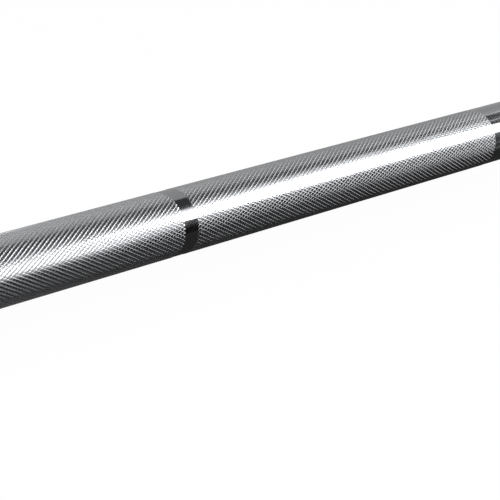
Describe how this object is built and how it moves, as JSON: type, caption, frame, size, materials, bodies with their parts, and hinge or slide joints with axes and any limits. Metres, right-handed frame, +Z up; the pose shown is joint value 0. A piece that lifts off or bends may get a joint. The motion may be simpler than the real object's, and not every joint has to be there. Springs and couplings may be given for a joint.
{
  "type": "olympic barbell",
  "caption": "Straight steel weightlifting bar with a knurled grip and, on each end, a sleeve for plates that turns on needle bearings outside a fixed shaft.",
  "frame": {"origin": "middle of the shaft, on its axis, which is the centre of the bounding box", "axes": "+X along the bar, from the left sleeve to the right one; +Z up; the bar is round about X"},
  "size_m": [2.2, 0.073, 0.073],
  "materials": {
    "chrome_shaft": "bright hard chrome over a diamond knurl, with plain ground lengths between",
    "chrome_sleeve": "bright chrome over a turned and polished surface",
    "bearing_steel": "hardened and ground",
    "ground_steel": "ground flat",
    "spring_steel": "blackened spring steel",
    "bronze": "plain turned bronze",
    "black_rubber": "matt moulded rubber"
  },
  "bodies": {
    "shaft": {"shaft": "chrome_shaft", "left_retaining_ring": "spring_steel", "left_retaining_washer": "ground_steel", "left_outer_thrust_washer": "bronze", "left_inner_thrust_washer": "bronze", "right_retaining_ring": "spring_steel", "right_retaining_washer": "ground_steel", "right_outer_thrust_washer": "bronze", "right_inner_thrust_washer": "bronze"},
    "left_sleeve": {"left_sleeve_tube": "chrome_sleeve", "left_sleeve_collar": "chrome_sleeve", "left_end_cap": "chrome_sleeve", "left_end_cap_o_ring": "black_rubber", "left_end_cap_snap_ring": "spring_steel", "left_outer_bearing_cup": "bearing_steel", "left_inner_bearing_cup": "bearing_steel", "left_dust_seal": "black_rubber"},
    "left_inner_cage": {"left_inner_bearing_cage": "bearing_steel", "left_inner_bearing_needles": "bearing_steel"},
    "left_outer_cage": {"left_outer_bearing_cage": "bearing_steel", "left_outer_bearing_needles": "bearing_steel"},
    "right_sleeve": {"right_sleeve_tube": "chrome_sleeve", "right_sleeve_collar": "chrome_sleeve", "right_end_cap": "chrome_sleeve", "right_end_cap_o_ring": "black_rubber", "right_end_cap_snap_ring": "spring_steel", "right_outer_bearing_cup": "bearing_steel", "right_inner_bearing_cup": "bearing_steel", "right_dust_seal": "black_rubber"},
    "right_inner_cage": {"right_inner_bearing_cage": "bearing_steel", "right_inner_bearing_needles": "bearing_steel"},
    "right_outer_cage": {"right_outer_bearing_cage": "bearing_steel", "right_outer_bearing_needles": "bearing_steel"}
  },
  "joints": [
    {"name": "left_sleeve_spin", "type": "hinge", "parent": "shaft", "child": "left_sleeve", "pos_m": [-0.8775, 0, 0], "axis": [1, 0, 0], "continuous": true},
    {"name": "left_inner_cage_spin", "type": "hinge", "parent": "shaft", "child": "left_inner_cage", "pos_m": [-0.67565, 0, 0], "axis": [1, 0, 0], "continuous": true},
    {"name": "left_outer_cage_spin", "type": "hinge", "parent": "shaft", "child": "left_outer_cage", "pos_m": [-1.05775, 0, 0], "axis": [1, 0, 0], "continuous": true},
    {"name": "right_sleeve_spin", "type": "hinge", "parent": "shaft", "child": "right_sleeve", "pos_m": [0.8775, 0, 0], "axis": [1, 0, 0], "continuous": true},
    {"name": "right_inner_cage_spin", "type": "hinge", "parent": "shaft", "child": "right_inner_cage", "pos_m": [0.67565, 0, 0], "axis": [1, 0, 0], "continuous": true},
    {"name": "right_outer_cage_spin", "type": "hinge", "parent": "shaft", "child": "right_outer_cage", "pos_m": [1.05775, 0, 0], "axis": [1, 0, 0], "continuous": true}
  ],
  "couplings": [
    {"joint": "left_inner_cage_spin", "follows": "left_sleeve_spin", "ratio": 0.54546},
    {"joint": "left_outer_cage_spin", "follows": "left_sleeve_spin", "ratio": 0.54546},
    {"joint": "right_inner_cage_spin", "follows": "right_sleeve_spin", "ratio": 0.54546},
    {"joint": "right_outer_cage_spin", "follows": "right_sleeve_spin", "ratio": 0.54546}
  ]
}
